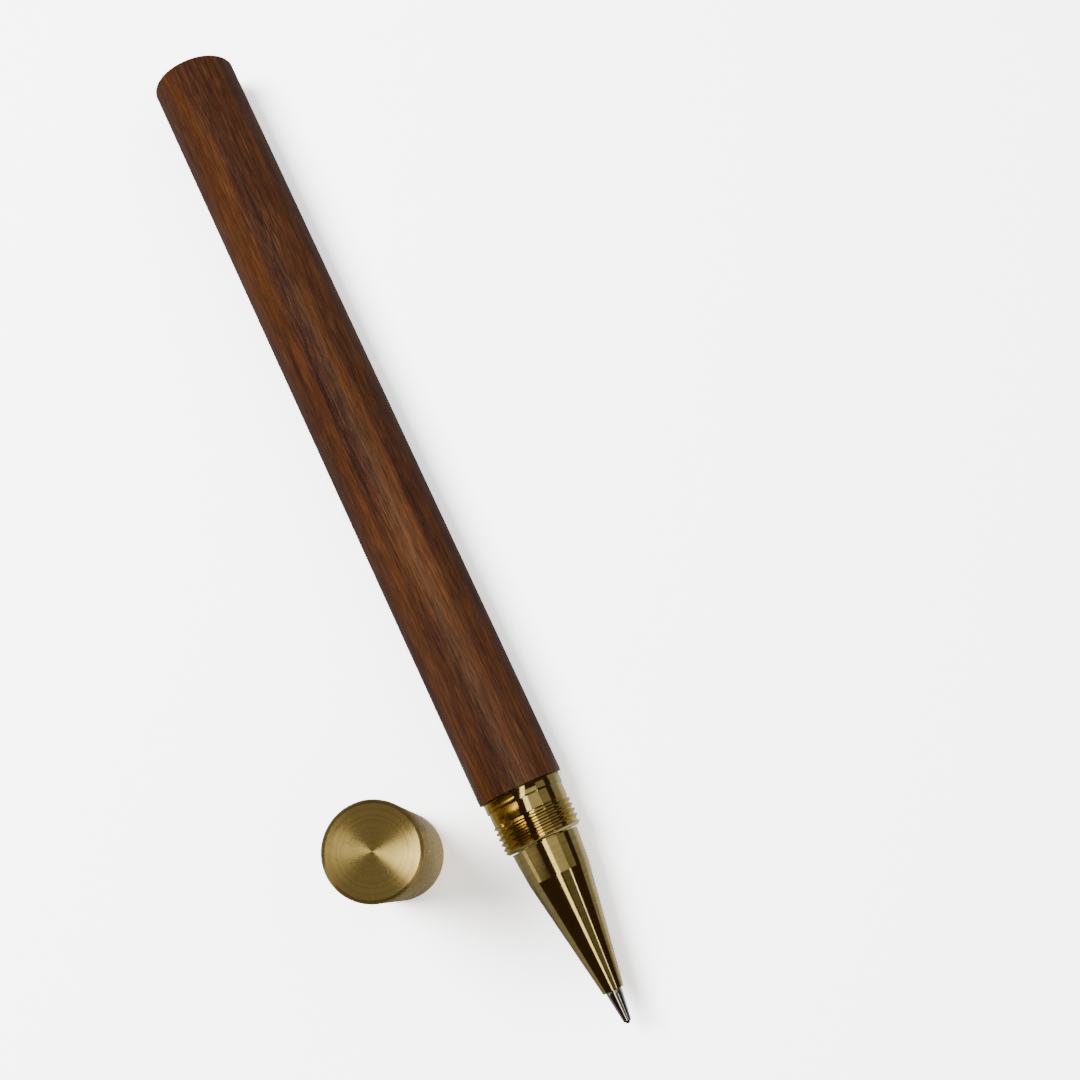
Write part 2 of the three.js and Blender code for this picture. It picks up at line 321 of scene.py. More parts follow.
# %% Group: lines from the lathe tool
BAND_SHARE = 0.13      # bands for each tool line


def make_tool_lines():
    """Fine rings. The place is in mm from the turning axis, which is the place's Z axis."""
    group, given, result = start_group(
        "tool_lines",
        [("Place", "NodeSocketVector"), ("Lines per mm", "NodeSocketFloat")],
        [("Height", "NodeSocketFloat"), ("Streaks", "NodeSocketFloat")])
    flat = put(group, "ShaderNodeVectorMath", {0: given["Place"], 1: (1, 1, 0)}, operation="MULTIPLY")
    radius = put(group, "ShaderNodeVectorMath", {0: flat.outputs[0]}, operation="LENGTH")
    apart = put(group, "ShaderNodeSeparateXYZ", {0: given["Place"]})
    travel = put(group, "ShaderNodeMath", {0: radius.outputs["Value"], 1: apart.outputs["Z"]},
                 operation="ADD")
    count = put(group, "ShaderNodeMath", {0: travel.outputs[0], 1: given["Lines per mm"]},
                operation="MULTIPLY")
    fine = put(group, "ShaderNodeTexNoise", {"W": count.outputs[0], "Scale": 1.0, "Detail": 3.0},
               noise_dimensions="1D")
    coarse_count = put(group, "ShaderNodeMath", {0: count.outputs[0], 1: BAND_SHARE}, operation="MULTIPLY")
    coarse = put(group, "ShaderNodeTexNoise", {"W": coarse_count.outputs[0], "Scale": 1.0, "Detail": 1.0},
                 noise_dimensions="1D")
    group.links.new(fine.outputs[0], result.inputs["Height"])
    group.links.new(between(group, coarse.outputs[0], 0.35, 0.65, 0.0, 1.0), result.inputs["Streaks"])
    return group


tool_lines = make_tool_lines()
print("group", tool_lines.name)


# %% [markdown]
# ## Marks of handling and of moulding
# Fingers leave wide soft smears, which change the roughness more than the colour, and brass dulls
# in small spots. A moulding has fine dimples and slow clouds. Each is a pair of noises of very
# different sizes, which is why each is a group with two outputs.


# %% Group: smears and spots from handling
def make_handling():
    """Soft smears a few mm wide, and small darker spots where metal has dulled."""
    group, given, result = start_group(
        "handling",
        [("Place", "NodeSocketVector")],
        [("Smears", "NodeSocketFloat"), ("Spots", "NodeSocketFloat")])
    smears = put(group, "ShaderNodeTexNoise",
                 {"Vector": given["Place"], "Scale": 0.35, "Detail": 4.0, "Distortion": 0.8})
    spots = put(group, "ShaderNodeTexNoise", {"Vector": given["Place"], "Scale": 1.9, "Detail": 6.0})
    group.links.new(between(group, smears.outputs[0], 0.35, 0.7, 0.0, 1.0), result.inputs["Smears"])
    group.links.new(between(group, spots.outputs[0], 0.5, 0.75, 0.0, 1.0), result.inputs["Spots"])
    return group


handling = make_handling()
print("group", handling.name)


# %% Group: skin of a moulding
def make_moulded_skin():
    """The faint dimpled skin of a plastic moulding, with slow cloudiness."""
    group, given, result = start_group(
        "moulded_skin",
        [("Place", "NodeSocketVector")],
        [("Height", "NodeSocketFloat"), ("Clouds", "NodeSocketFloat")])
    dimples = put(group, "ShaderNodeTexNoise", {"Vector": given["Place"], "Scale": 6.0, "Detail": 4.0})
    clouds = put(group, "ShaderNodeTexNoise", {"Vector": given["Place"], "Scale": 0.4, "Detail": 2.0})
    group.links.new(dimples.outputs[0], result.inputs["Height"])
    group.links.new(between(group, clouds.outputs[0], 0.3, 0.7, 0.0, 1.0), result.inputs["Clouds"])
    return group


moulded_skin = make_moulded_skin()
print("group", moulded_skin.name)


# %% [markdown]
# ## A material's first nodes
# Every material starts alike: the place on the piece is moved to the piece's foot, scaled to
# millimetres and turned until the piece's axis is the Z axis. After that a ring is a ring on every
# piece, whether it lies along the pen or stands with the cap.


# %% Starting a material
def start_material(name, along=ALONG_PEN, foot=PEN_FOOT):
    """A material with its shader and the place on the piece: mm, turning axis on Z."""
    material = bpy.data.materials.new(name)
    material.use_nodes = True
    tree = material.node_tree
    coordinates = put(tree, "ShaderNodeTexCoord")
    moved = put(tree, "ShaderNodeVectorMath", {0: coordinates.outputs["Object"], 1: tuple(foot)},
                operation="SUBTRACT")
    in_mm = put(tree, "ShaderNodeVectorMath", {0: moved.outputs[0], "Scale": 1 / MM}, operation="SCALE")
    turned = (math.pi / 2, 0, 0) if along == ALONG_PEN else (0, 0, 0)
    place = put(tree, "ShaderNodeMapping", {"Vector": in_mm.outputs[0], "Rotation": turned})
    return material, tree, tree.nodes["Principled BSDF"], place.outputs[0]


def use_group(tree, group, sockets):
    """Places a node group in a material with its own values."""
    node = tree.nodes.new("ShaderNodeGroup")
    node.node_tree = group
    for key, value in sockets.items():
        if isinstance(value, bpy.types.NodeSocket):
            tree.links.new(value, node.inputs[key])
        else:
            node.inputs[key].default_value = value
    return node.outputs


def bump(tree, shader, height, depth):
    """Feeds a height through a Bump node. The depth is in mm."""
    node = put(tree, "ShaderNodeBump", {"Strength": 1.0, "Distance": depth * MM, "Height": height})
    tree.links.new(node.outputs[0], shader.inputs["Normal"])


# %% [markdown]
# ## Turned metals
# Brass and nickel silver differ in colour and in how far they were polished. The nose and collar
# are polished until they mirror the room. The cap keeps the fine rings of its last cut: light
# spreads across them but not along them, so a flat spun face shows bright wedges that turn as
# the cap turns. That is what the anisotropic setting is for: a radial tangent follows the rings,
# and a quarter turn of rotation lays the spread across them.


# %% Turned metals
SPOT_STRENGTH = 0.6    # how dull a spot is beside a smear
WEAR = 0.55            # how far the worst place goes to the dull colour
RING_SHADE = 0.88      # the darkest ring


def turned_metal(name, clean, dull, smooth_as, rough_as, lines, line_depth, along=ALONG_PEN, foot=PEN_FOOT):
    """A metal of two colours and a roughness range, with its tool lines per mm and their depth in mm."""
    material, tree, shader, place = start_material(name, along, foot)
    rings = use_group(tree, tool_lines, {"Place": place, "Lines per mm": lines})
    marks = use_group(tree, handling, {"Place": place})
    dulled = put(tree, "ShaderNodeMath", {0: marks["Spots"], 1: SPOT_STRENGTH}, operation="MULTIPLY")
    worn = put(tree, "ShaderNodeMath", {0: dulled.outputs[0], 1: marks["Smears"]}, operation="MAXIMUM")
    share = put(tree, "ShaderNodeMath", {0: worn.outputs[0], 1: WEAR}, operation="MULTIPLY")
    color = blend(tree, share.outputs[0], (*clean, 1), (*dull, 1))
    ringed = between(tree, rings["Streaks"], 0.0, 1.0, RING_SHADE, 1.0)
    color = blend(tree, 1.0, color, ringed, mode="MULTIPLY")
    tree.links.new(color, shader.inputs["Base Color"])
    rough = between(tree, marks["Smears"], 0.0, 1.0, smooth_as, rough_as)
    tree.links.new(rough, shader.inputs["Roughness"])
    shader.inputs["Metallic"].default_value = 1.0
    bump(tree, shader, rings["Height"], line_depth)
    print("finish", name)
    return material


polished_brass = turned_metal(
    "polished_brass", (0.87, 0.70, 0.27), (0.68, 0.50, 0.16), 0.06, 0.13, 14.0, 0.0006)
nickel_silver = turned_metal(
    "nickel_silver", (0.74, 0.73, 0.70), (0.55, 0.54, 0.50), 0.06, 0.14, 20.0, 0.0006)
hard_metal = turned_metal(
    "hard_metal", (0.55, 0.56, 0.58), (0.40, 0.41, 0.43), 0.08, 0.16, 40.0, 0.0002)
spring_steel = turned_metal(
    "spring_steel", (0.60, 0.61, 0.63), (0.42, 0.42, 0.43), 0.18, 0.35, 9.0, 0.0010)
tube_brass = turned_metal(
    "tube_brass", (0.74, 0.52, 0.20), (0.50, 0.33, 0.12), 0.22, 0.40, 3.0, 0.0010)
satin_brass = turned_metal(
    "satin_brass", (0.83, 0.63, 0.23), (0.70, 0.51, 0.17), 0.24, 0.34, 16.0, 0.00008,
    along=ALONG_CAP, foot=CAP_FOOT)
satin_tree = satin_brass.node_tree
satin_shader = satin_tree.nodes["Principled BSDF"]
satin_shader.inputs["Anisotropic"].default_value = 0.9
satin_shader.inputs["Anisotropic Rotation"].default_value = 0.25
rings_tangent = put(satin_tree, "ShaderNodeTangent", direction_type="RADIAL", axis="Z")
satin_tree.links.new(rings_tangent.outputs[0], satin_shader.inputs["Tangent"])

# %% [markdown]
# ## Rosewood
# The barrel's wood is red-brown, with slow bands from nearly black to orange, a fine straight
# grain inside them, short dark pores and light flecks. All four are the same kind of noise,
# pulled out long in the direction of the grain, which runs a few degrees off the barrel's axis
# because the blank was not split dead straight. The fine grain and the pores also roughen the
# surface a little. A thin oil finish lies over it, so the wood shines softly.


# %% Rosewood
GRAIN_LEAN = math.radians(-3.5)


def grain_noise(tree, place, across, along, detail, wander=0.0):
    """Noise with features of the given size in mm across and along the grain, from 0 to 1."""
    pulled = put(tree, "ShaderNodeMapping", {
        "Vector": place, "Rotation": (0, GRAIN_LEAN, 0), "Scale": (1 / across, 1 / across, 1 / along)})
    noise = put(tree, "ShaderNodeTexNoise", {
        "Vector": pulled.outputs[0], "Scale": 1.0, "Detail": detail, "Roughness": 0.55, "Distortion": wander})
    return noise.outputs[0]


def make_rosewood():
    """The barrel's oiled wood: bands, fine grain, pores and flecks."""
    material, tree, shader, place = start_material("rosewood")
    bands = grain_noise(tree, place, across=3.2, along=46.0, detail=3.0, wander=0.7)
    # The wood is darker on one side of the blank, towards -X, than on the other.
    apart = put(tree, "ShaderNodeSeparateXYZ", {0: place})
    dark_side_shift = between(tree, apart.outputs["X"], -6.0, 6.0, -0.10, 0.05)
    level = put(tree, "ShaderNodeMath", {0: bands, 1: dark_side_shift}, operation="ADD")
    ramp = put(tree, "ShaderNodeValToRGB", {"Fac": level.outputs[0]})
    stops = ramp.color_ramp.elements
    stops[0].position, stops[0].color = 0.24, (0.026, 0.009, 0.006, 1)
    stops[1].position, stops[1].color = 0.82, (0.150, 0.055, 0.018, 1)
    for position, color in ((0.38, (0.058, 0.020, 0.010, 1)), (0.52, (0.082, 0.028, 0.010, 1)),
                            (0.66, (0.104, 0.036, 0.012, 1))):
        stop = stops.new(position)
        stop.color = color
    fine = grain_noise(tree, place, across=0.2, along=6.0, detail=4.0)
    tint = between(tree, fine, 0.3, 0.7, 0.5, 1.4)
    color = blend(tree, 1.0, ramp.outputs["Color"], tint, mode="MULTIPLY")
    pores = grain_noise(tree, place, across=0.11, along=2.6, detail=2.0)
    pore = between(tree, pores, 0.54, 0.66, 0.0, 1.0)
    color = blend(tree, put(tree, "ShaderNodeMath", {0: pore, 1: 0.55}, operation="MULTIPLY").outputs[0],
                  color, (0.012, 0.004, 0.003, 1))
    flecks = grain_noise(tree, place, across=0.12, along=3.6, detail=2.0)
    fleck = between(tree, flecks, 0.55, 0.72, 0.0, 0.3)
    color = blend(tree, fleck, color, (0.30, 0.13, 0.04, 1))
    tree.links.new(color, shader.inputs["Base Color"])
    tree.links.new(between(tree, fine, 0.3, 0.7, 0.42, 0.30), shader.inputs["Roughness"])
    marks = use_group(tree, handling, {"Place": place})
    oiled = between(tree, marks["Smears"], 0.0, 1.0, 0.12, 0.04)
    tree.links.new(oiled, shader.inputs["Coat Weight"])
    shader.inputs["Coat Roughness"].default_value = 0.3
    shader.inputs["Specular IOR Level"].default_value = 0.3
    height = put(tree, "ShaderNodeMath", {0: fine, 1: pore}, operation="SUBTRACT")
    bump(tree, shader, height.outputs[0], 0.012)
    print("finish rosewood")
    return material


rosewood = make_rosewood()

# %% [markdown]
# ## Plastics, ink and grease
# The refill is plastic: a clear extruded tube, two white mouldings, the ink and the grease plug
# that follows it. The inner cap is black. The same moulded skin serves them all with other
# colours, and the clear ones let light through.


# %% Plastics, ink and grease
def plastic(name, color, cloudy, roughness, skin_depth=0.002, clear=0.0):
    """A moulded or extruded plastic, or a liquid column. Clear is the share of light let through."""
    material, tree, shader, place = start_material(name)
    skin = use_group(tree, moulded_skin, {"Place": place})
    mixed = blend(tree, skin["Clouds"], (*color, 1), (*cloudy, 1))
    tree.links.new(mixed, shader.inputs["Base Color"])
    rough = between(tree, skin["Clouds"], 0.0, 1.0, roughness, roughness * 1.3)
    tree.links.new(rough, shader.inputs["Roughness"])
    shader.inputs["Transmission Weight"].default_value = clear
    bump(tree, shader, skin["Height"], skin_depth)
    print("finish", name)
    return material


white_plastic = plastic("white_plastic", (0.80, 0.80, 0.77), (0.72, 0.72, 0.69), 0.40)
black_plastic = plastic("black_plastic", (0.022, 0.022, 0.024), (0.034, 0.034, 0.036), 0.42)
clear_plastic = plastic("clear_plastic", (0.90, 0.92, 0.91), (0.82, 0.84, 0.82), 0.22, clear=0.85)
ink_finish = plastic("ink_finish", (0.010, 0.012, 0.026), (0.016, 0.016, 0.034), 0.10, skin_depth=0.0005)
grease = plastic("grease", (0.80, 0.74, 0.52), (0.70, 0.62, 0.42), 0.18, skin_depth=0.004, clear=0.3)

# %% [markdown]
# ## Barrel
# The barrel is one straight round rod of hardwood, drilled from the front almost to its end. Its
# front edge is only just broken, so that it meets the brass cleanly. Its far edge is rounded
# with a file. A section spun on the lathe gives both edges exactly.

# %% Barrel
tube_front, tube_back, tube_radius = span("barrel_tube")
bore_radius = tube_radius + 0.05
bore_end = tube_back + 0.1
barrel = turn_on_lathe("barrel_wood", [
    (0, bore_end),
    (bore_radius, bore_end),
    (bore_radius, WOOD_FRONT),
    (BARREL_RADIUS, WOOD_FRONT, 0.12),
    (BARREL_RADIUS, PEN_LENGTH, 0.8),
    (0, PEN_LENGTH),
])
smooth(barrel)
paint(barrel, rosewood, "barrel", "barrel")
tell(barrel)

# %% [markdown]
# ## Inside the barrel
# A thin brass tube lines the bore, and a plug with a pip closes it and seats the spring. The
# spring is wire wound on a helix: its turns come from a formula and lie close at both ends, as
# in a spring whose ends are closed, and open between them.

# %% Barrel tube and rear plug
TUBE_WALL = 0.4
barrel_tube = turn_on_lathe("barrel_tube_brass", [
    (tube_radius - TUBE_WALL, tube_front),
    (tube_radius, tube_front, 0.05),
    (tube_radius, tube_back, 0.05),
    (tube_radius - TUBE_WALL, tube_back),
    (tube_radius - TUBE_WALL, tube_front),
], sides=96)
smooth(barrel_tube)
paint(barrel_tube, tube_brass, "barrel", "barrel_tube")
tell(barrel_tube)

plug_front, plug_back, plug_radius = span("rear_plug")
rear_plug = turn_on_lathe("rear_plug_brass", [
    (0, plug_front),
    (1.4, plug_front, 0.15),
    (1.4, plug_front + 1.0),
    (plug_radius, plug_front + 1.0, 0.1),
    (plug_radius, plug_back, 0.15),
    (0, plug_back),
], sides=64)
smooth(rear_plug)
paint(rear_plug, tube_brass, "barrel", "rear_plug")
tell(rear_plug)


# %% Springs
WIRE_SEAM = 0.0001 * MM


def wind_spring(name, wire, coil, front, back, turns, needle=0.0, steps=28):
    """A compression spring with closed ends, or with a straight needle of wire before its coils."""
    bpy.ops.object.select_all(action="DESELECT")
    bpy.ops.curve.primitive_nurbs_path_add(location=(0, 0, 0))
    obj = bpy.context.object
    obj.name = name
    path = obj.data
    path.splines.clear()
    spline = path.splines.new("POLY")
    count = int(turns * steps)
    spline.points.add(count)
    closed = 1.0 / turns
    coils_front = front + needle
    for index in range(count + 1):
        share = index / count
        angle = math.tau * turns * share
        # The wire climbs by its own thickness in the first and last turn, and freely between.
        dead = 2 * wire / (back - coils_front)
        if share < closed and needle == 0:
            climb = share / closed * dead
        elif share > 1 - closed:
            climb = 1 - (1 - share) / closed * dead
        else:
            first = 0 if needle else closed
            start = 0 if needle else dead
            climb = start + (share - first) / (1 - closed - first) * (1 - dead - start)
        widen = min(1.0, share * turns * 2) if needle else 1.0
        place = Vector((math.cos(angle) * coil * widen, 0, math.sin(angle) * coil * widen))
        station = coils_front + climb * (back - coils_front)
        if needle and index == 0:
            station = front
        spline.points[index].co = (*(PEN_FOOT + (place + ALONG_PEN * station) * MM), 1)
    path.dimensions = "3D"
    path.bevel_depth = wire * MM
    path.bevel_resolution = 3
    path.use_fill_caps = True
    bpy.ops.object.convert(target="MESH")
    obj = bpy.context.object
    close_up(threshold=WIRE_SEAM)
    return obj


spring_front, spring_back, spring_radius = span("refill_spring")
SPRING_WIRE = 0.25
refill_spring = wind_spring("refill_spring_wire", SPRING_WIRE, spring_radius - SPRING_WIRE,
                            spring_front + SPRING_WIRE, spring_back - SPRING_WIRE, turns=7)
smooth(refill_spring, 40)
paint(refill_spring, spring_steel, "barrel", "refill_spring")
tell(refill_spring)

# %% [markdown]
# ## Collar
# The collar is turned from brass bar. From the wood forwards it has a plain ring, a relief a
# little smaller, the thread that holds the cap, and a bevelled front. Behind the ring a spigot
# is glued in the barrel's tube. The thread is a true helix, a ridge united with the turned core.

# %% Collar
COLLAR_BACK = span("collar")[1]
CREST = 5.44
ROOT = 5.10
RELIEF = 5.26
RING = 5.44
FRONT_RING = 5.36
THREAD_TURNS = 4.6
RING_LENGTH = 1.5
NOSE_BORE = 4.25
SPIGOT = 3.83
SPIGOT_BORE = 3.3
NOSE_BORE_END = 31.8
thread_start = COLLAR_FRONT + 0.42
thread_end = thread_start + THREAD_TURNS * THREAD_PITCH
ring_front = WOOD_FRONT - RING_LENGTH
ring_back = WOOD_FRONT - 0.05
collar = turn_on_lathe("collar_brass", [
    (NOSE_BORE, COLLAR_FRONT),
    (FRONT_RING - 0.38, COLLAR_FRONT, 0.04),
    (FRONT_RING, COLLAR_FRONT + 0.30, 0.04),
    (FRONT_RING, thread_start + 0.02, 0.04),
    (ROOT, thread_start + 0.12),
    (ROOT, thread_end),
    (RELIEF, thread_end + 0.15, 0.04),
    (RELIEF, ring_front),
    (RING, ring_front, 0.06),
    (RING, ring_back, 0.04),
    (SPIGOT, ring_back),
    (SPIGOT, COLLAR_BACK, 0.2),
    (SPIGOT_BORE, COLLAR_BACK),
    (SPIGOT_BORE, NOSE_BORE_END),
    (NOSE_BORE, NOSE_BORE_END),
    (NOSE_BORE, COLLAR_FRONT),
])
ridge = thread_ridge("cap_thread", ROOT, CREST, thread_start - 0.3, THREAD_TURNS, PEN_FOOT, ALONG_PEN)
join_ridge(collar, ridge)
smooth(collar)
paint(collar, polished_brass, "barrel", "collar")
tell(collar)

# %% [markdown]
# ## Nose cone
# The nose is a long cone, and a shallower one from the kink to its shoulder. The kink stays a
# crisp line, so smooth shading stops at an angle of a few degrees. Behind the shoulder a
# threaded tenon screws into the collar, and inside, a step holds the refill's flange.

# %% Nose cone
MOUTH_BORE = 1.23
TENON_CORE = 3.78
TENON_CREST = 4.04
TENON_END = 31.5
TENON_THREAD = 26.2
TENON_TURNS = 5.8
REFILL_BORE = 3.15
ADAPTER_BORE = 2.1
FLANGE_STEP = 17.6
ADAPTER_STEP = 12.5
TIP_STEP = 11.4
nose = turn_on_lathe("nose_brass", [
    (MOUTH_BORE, NOSE_MOUTH),
    (1.46, NOSE_MOUTH, 0.08),
    (4.25, NOSE_KINK),
    (4.66, NOSE_SHOULDER, 0.05),
    (TENON_CORE, NOSE_SHOULDER),
    (TENON_CORE, TENON_END, 0.2),
    (REFILL_BORE, TENON_END),
    (REFILL_BORE, FLANGE_STEP),
    (ADAPTER_BORE, FLANGE_STEP),
    (ADAPTER_BORE, ADAPTER_STEP),
    (MOUTH_BORE, TIP_STEP),
    (MOUTH_BORE, NOSE_MOUTH),
])
ridge = thread_ridge("nose_thread", TENON_CORE, TENON_CREST, TENON_THREAD, TENON_TURNS, PEN_FOOT, ALONG_PEN)
join_ridge(nose, ridge)
smooth(nose, 3)
paint(nose, polished_brass, "nose", "nose_cone")
tell(nose)

# %% [markdown]
# ## Tip and ball
# The refill's tip is a bright cone of nickel silver with a tiny lip rolled over the ball, so that
# the ball can turn but can't fall out. The ball is turned from an arc: a half circle of points
# that comes from the sine and cosine of its angle.

# %% Tip and ball
tip_front, tip_back, tip_radius = span("tip_holder")
LIP = 0.352
SOCKET = 0.38
INK_HOLE = 0.18
INK_BORE = 0.6
TIP_CONE_END = 4.2
tip = turn_on_lathe("tip_nickel", [
    (LIP, tip_front),
    (0.44, tip_front, 0.04),
    (0.54, 0.42, 0.04),
    (tip_radius, TIP_CONE_END, 0.3),
    (tip_radius, tip_back),
    (INK_BORE, tip_back),
    (INK_BORE, 1.5),
    (INK_HOLE, 1.3),
    (INK_HOLE, 0.8),
    (SOCKET, 0.62),
    (SOCKET, 0.3),
    (LIP, tip_front),
], sides=64)
smooth(tip)
paint(tip, nickel_silver, "refill", "tip_holder")
tell(tip)

BALL_RADIUS = span("writing_ball")[2]
BALL_STEPS = 20
ball_arc = [(BALL_RADIUS * math.sin(math.pi * step / BALL_STEPS),
             BALL_RADIUS * (1 - math.cos(math.pi * step / BALL_STEPS))) for step in range(BALL_STEPS + 1)]
ball = turn_on_lathe("ball", ball_arc, sides=32)
smooth(ball, 40)
paint(ball, hard_metal, "ball", "writing_ball")
tell(ball)

# %% [markdown]
# ## The rest of the refill
# Behind the tip come the white adapter, whose flange stops in the nose, the clear tube with its
# ink and the grease that follows the ink, and a vented plug. A hair-thin spring with a straight
# needle keeps the ball on its seat. Each has its own small radii, so each is its own section.

# %% Adapter and refill tube
adapter_front, adapter_back, adapter_radius = span("tip_adapter")
refill_front, refill_back, refill_radius = span("refill_tube")
REFILL_WALL = 0.52
refill_bore = refill_radius - REFILL_WALL
FLANGE_FRONT = 17.9
TIP_SOCKET = 1.13
ADAPTER_NECK = 1.95
INK_WAY = 0.75
adapter = turn_on_lathe("tip_adapter_plastic", [
    (TIP_SOCKET, adapter_front),
    (ADAPTER_NECK - 0.2, adapter_front, 0.08),
    (ADAPTER_NECK, adapter_front + 0.4, 0.1),
    (ADAPTER_NECK, FLANGE_FRONT),
    (adapter_radius, FLANGE_FRONT, 0.08),
    (adapter_radius, refill_front - 0.1, 0.08),
    (refill_bore - 0.08, refill_front - 0.1),
    (refill_bore - 0.08, adapter_back, 0.15),
    (INK_WAY, adapter_back),
    (INK_WAY, tip_back + 0.1),
    (TIP_SOCKET, tip_back + 0.1),
    (TIP_SOCKET, adapter_front),
], sides=64)
smooth(adapter)
paint(adapter, white_plastic, "refill", "tip_adapter")
tell(adapter)

refill_tube = turn_on_lathe("refill_tube_plastic", [
    (refill_bore, refill_front),
    (refill_radius, refill_front, 0.08),
    (refill_radius, refill_back, 0.08),
    (refill_bore, refill_back),
    (refill_bore, refill_front),
], sides=64)
smooth(refill_tube)
paint(refill_tube, clear_plastic, "refill", "refill_tube")
tell(refill_tube)

# %% [markdown]
# ## Ink, grease and plug
# The ink is a black column with a hollow, meniscus-like back end, and the grease plug behind it has
# the matching round front. The plug at the end has a vent, because air must follow the ink.

# %% Ink, follower, end plug and ball spring
ink_front, ink_back, ink_radius = span("ink")
MENISCUS = 0.25
ink = turn_on_lathe("ink_column", [
    (0, ink_front),
    (ink_radius, ink_front, 0.1),
    (ink_radius, ink_back),
    (ink_radius * 0.7, ink_back - MENISCUS * 0.8, 0.3),
    (0, ink_back - MENISCUS),
], sides=64)
smooth(ink, 60)
paint(ink, ink_finish, "refill", "ink")
tell(ink)

grease_front, grease_back, grease_radius = span("ink_follower")
follower = turn_on_lathe("follower_grease", [
    (0, grease_front - MENISCUS),
    (grease_radius * 0.7, grease_front - MENISCUS * 0.8, 0.3),
    (grease_radius, grease_front),
    (grease_radius, grease_back),
    (grease_radius * 0.7, grease_back - MENISCUS * 0.8, 0.3),
    (0, grease_back - MENISCUS),
], sides=64)
smooth(follower, 60)
paint(follower, grease, "refill", "ink_follower")
tell(follower)

end_front, end_back, end_radius = span("refill_end_plug")
VENT = 0.5
end_plug = turn_on_lathe("refill_end_plug_plastic", [
    (VENT, end_front),
    (refill_bore - 0.08, end_front, 0.15),
    (refill_bore - 0.08, refill_back + 0.1),
    (end_radius, refill_back + 0.1, 0.08),
    (end_radius, refill_back + 1.4, 0.12),
    (1.5, refill_back + 1.4),
    (1.3, end_back, 0.15),
    (VENT, end_back),
    (VENT, end_front),
], sides=64)
smooth(end_plug)
paint(end_plug, white_plastic, "refill", "refill_end_plug")
tell(end_plug)

needle_front, needle_back, _ = span("ball_spring")
NEEDLE_WIRE = 0.06
ball_spring = wind_spring("ball_spring_wire", NEEDLE_WIRE, 0.42, needle_front + 0.02, needle_back - 0.1,
                          turns=9, needle=0.75)
smooth(ball_spring, 40)
paint(ball_spring, spring_steel, "refill", "ball_spring")
tell(ball_spring)

# %% [markdown]
# ## Cap
# The cap is a brass cup. Its closed end is faced flat and its edge bevelled, its mouth is
# threaded inside, and a plastic inner cap seals round the nose so that the tip doesn't dry.

# %% Cap
END_WALL = 0.8
THREAD_MAJOR = 5.55
THREAD_MINOR = 5.3
CAP_BORE = 5.1
BEVEL = 0.45
THREAD_TOP = 6.35
CAP_THREAD = 1.9
CAP_TURNS = 5
cap = turn_on_lathe("cap_brass", [
    (0, CAP_LENGTH - END_WALL),
    (CAP_BORE, CAP_LENGTH - END_WALL, 0.2),
    (CAP_BORE, THREAD_TOP),
    (THREAD_MAJOR, THREAD_TOP),
    (THREAD_MAJOR, 0.0, 0.08),
    (CAP_RADIUS, 0.0, 0.12),
    (CAP_RADIUS, CAP_LENGTH - BEVEL, 0.06),
    (CAP_RADIUS - BEVEL, CAP_LENGTH, 0.06),
    (0, CAP_LENGTH),
], foot=CAP_FOOT, along=ALONG_CAP)
ridge = thread_ridge("cap_mouth_thread", THREAD_MAJOR, THREAD_MINOR, CAP_THREAD, CAP_TURNS, CAP_FOOT,
                     ALONG_CAP)
join_ridge(cap, ridge)
smooth(cap)
paint(cap, satin_brass, "cap", "cap")
tell(cap)

# %% [markdown]
# ## Inner cap
# A dark plastic cup sits in the cap's closed end. Its funnel leads the tip in, and a narrow land
# seals on the nose. Nothing of it shows while the cap stands on its mouth, so it stays simple.

# %% Inner cap
inner_low, inner_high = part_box("inner_cap")
inner_mouth = (inner_low[2] - CAP_FOOT.z) / MM
inner_top = (inner_high[2] - CAP_FOOT.z) / MM
inner_radius = (inner_high[0] - inner_low[0]) / 2 / MM
SEAL = 1.86
WELL = 2.1
inner_cap = turn_on_lathe("inner_cap_plastic", [
    (0, inner_top - 0.5),
    (WELL, inner_top - 0.5, 0.3),
    (WELL, inner_mouth + 5.5),
    (SEAL, inner_mouth + 5.2, 0.1),
    (SEAL, inner_mouth + 4.6, 0.1),
    (3.2, inner_mouth, 0.1),
    (inner_radius, inner_mouth, 0.1),
    (inner_radius, inner_top, 0.15),
    (0, inner_top),
], foot=CAP_FOOT, along=ALONG_CAP)
smooth(inner_cap)
paint(inner_cap, black_plastic, "cap", "inner_cap")
tell(inner_cap)

# %% [markdown]
# ## Floor
# The table is plain and pale. Polished brass mirrors it, and a studio table that looks white to
# the eye would wash the metal out, so the table is bright for the camera and dim for the rays
# that bounce off the pen. Two small patches, beside the nose and beside the cap, glow for those
# bounced rays alone and give the brass its light edges there. Beyond the lamps the table glows
# white for the camera alone, so that no view ends in a dark horizon. Shadows stay as soft as the
# lights make them.

# %% Floor
FLOOR_SEEN = 4.6
FLOOR_MIRRORED = 0.17
GLOW = 0.42            # how brightly the pen mirrors the table on its right
CAP_GLOW = 0.30        # and the cap
FAR_WHITE = 5.0        # the table and the room beyond the lamps, for the camera
FADE_START = 0.25      # in metres from the middle
FADE_END = 1.6
bpy.ops.object.select_all(action="DESELECT")
bpy.ops.mesh.primitive_plane_add(size=30.0, location=(0, 0, 0))
floor = bpy.context.object
floor.name = "floor"
floor_material = bpy.data.materials.new("pale_table")
floor_material.use_nodes = True
floor_tree = floor_material.node_tree
floor_tree.nodes.remove(floor_tree.nodes["Principled BSDF"])
ray = put(floor_tree, "ShaderNodeLightPath")
whiteness = between(floor_tree, ray.outputs["Is Camera Ray"], 0.0, 1.0, FLOOR_MIRRORED, FLOOR_SEEN)
chalk = put(floor_tree, "ShaderNodeBsdfDiffuse", {"Color": whiteness})
spot = put(floor_tree, "ShaderNodeTexCoord").outputs["Object"]
